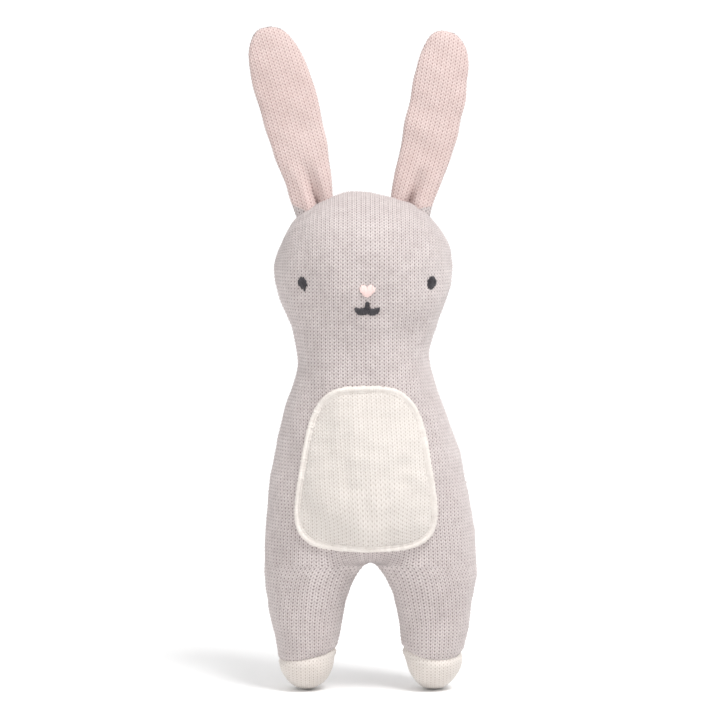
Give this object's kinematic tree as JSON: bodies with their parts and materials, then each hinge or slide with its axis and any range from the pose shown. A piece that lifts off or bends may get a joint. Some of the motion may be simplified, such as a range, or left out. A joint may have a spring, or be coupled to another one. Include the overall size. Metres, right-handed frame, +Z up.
{
  "type": "stuffed rabbit toy",
  "caption": "Knitted stuffed rabbit with upright padded ears, oval belly patch, embroidered face and contrasting feet, bending at neck, hips and ears.",
  "frame": {"origin": "on the floor under the middle of the toy, midway between the two soles, in the plane of the side seams", "axes": "+Z up through the crown, the face looks along -Y, +X is the toy's own left"},
  "size_m": [0.1079, 0.0705, 0.3316],
  "materials": {
    "grey_knit": "matte",
    "pink_knit": "matte",
    "cream_knit": "matte",
    "cream_satin_stitch": "matte",
    "grey_sewing_thread": "matte",
    "charcoal_embroidery": "matte",
    "rose_embroidery": "matte",
    "fibre_filling": "matte"
  },
  "bodies": {
    "torso": {"torso_front_knit": "grey_knit", "torso_back_knit": "grey_knit", "torso_filling": "fibre_filling", "belly_patch": "cream_knit", "patch_edging": "cream_satin_stitch", "closing_stitches": "grey_sewing_thread"},
    "head": {"head_front_knit": "grey_knit", "head_back_knit": "grey_knit", "head_filling": "fibre_filling", "left_eye": "charcoal_embroidery", "right_eye": "charcoal_embroidery", "nose": "rose_embroidery", "mouth": "charcoal_embroidery", "left_ear_root": "pink_knit", "right_ear_root": "pink_knit"},
    "left_ear": {"left_ear_front": "pink_knit", "left_ear_back": "grey_knit", "left_ear_wadding": "fibre_filling"},
    "left_ear_tip": {"left_ear_tip_front": "pink_knit", "left_ear_tip_back": "grey_knit", "left_ear_tip_wadding": "fibre_filling"},
    "left_leg": {"left_leg_front_knit": "grey_knit", "left_leg_back_knit": "grey_knit", "left_leg_filling": "fibre_filling", "left_foot_front_knit": "cream_knit", "left_foot_back_knit": "cream_knit"},
    "right_ear": {"right_ear_front": "pink_knit", "right_ear_back": "grey_knit", "right_ear_wadding": "fibre_filling"},
    "right_ear_tip": {"right_ear_tip_front": "pink_knit", "right_ear_tip_back": "grey_knit", "right_ear_tip_wadding": "fibre_filling"},
    "right_leg": {"right_leg_front_knit": "grey_knit", "right_leg_back_knit": "grey_knit", "right_leg_filling": "fibre_filling", "right_foot_front_knit": "cream_knit", "right_foot_back_knit": "cream_knit"}
  },
  "joints": [
    {"name": "head_nod", "type": "hinge", "parent": "torso", "child": "head", "pos_m": [0, 0, 0.167], "axis": [1, 0, 0], "range_deg": [-20, 20], "stiffness_Nm_per_rad": 0.15},
    {"name": "left_ear_flop", "type": "hinge", "parent": "head", "child": "left_ear", "pos_m": [0.02254, 0, 0.24867], "axis": [0.9781, 0, -0.2079], "range_deg": [-80, 80]},
    {"name": "left_ear_fold", "type": "hinge", "parent": "left_ear", "child": "left_ear_tip", "pos_m": [0.03054, 0, 0.28632], "axis": [0.9781, 0, -0.2079], "range_deg": [-85, 85]},
    {"name": "right_ear_flop", "type": "hinge", "parent": "head", "child": "right_ear", "pos_m": [-0.02712, 0, 0.24622], "axis": [0.9744, 0, 0.225], "range_deg": [-80, 80]},
    {"name": "right_ear_fold", "type": "hinge", "parent": "right_ear", "child": "right_ear_tip", "pos_m": [-0.03646, 0, 0.28665], "axis": [0.9744, 0, 0.225], "range_deg": [-85, 85]},
    {"name": "left_leg_swing", "type": "hinge", "parent": "torso", "child": "left_leg", "pos_m": [0.02625, 0, 0.062], "axis": [-1, 0, 0], "range_deg": [-30, 50], "stiffness_Nm_per_rad": 0.15},
    {"name": "right_leg_swing", "type": "hinge", "parent": "torso", "child": "right_leg", "pos_m": [-0.02625, 0, 0.062], "axis": [-1, 0, 0], "range_deg": [-30, 50], "stiffness_Nm_per_rad": 0.15}
  ]
}
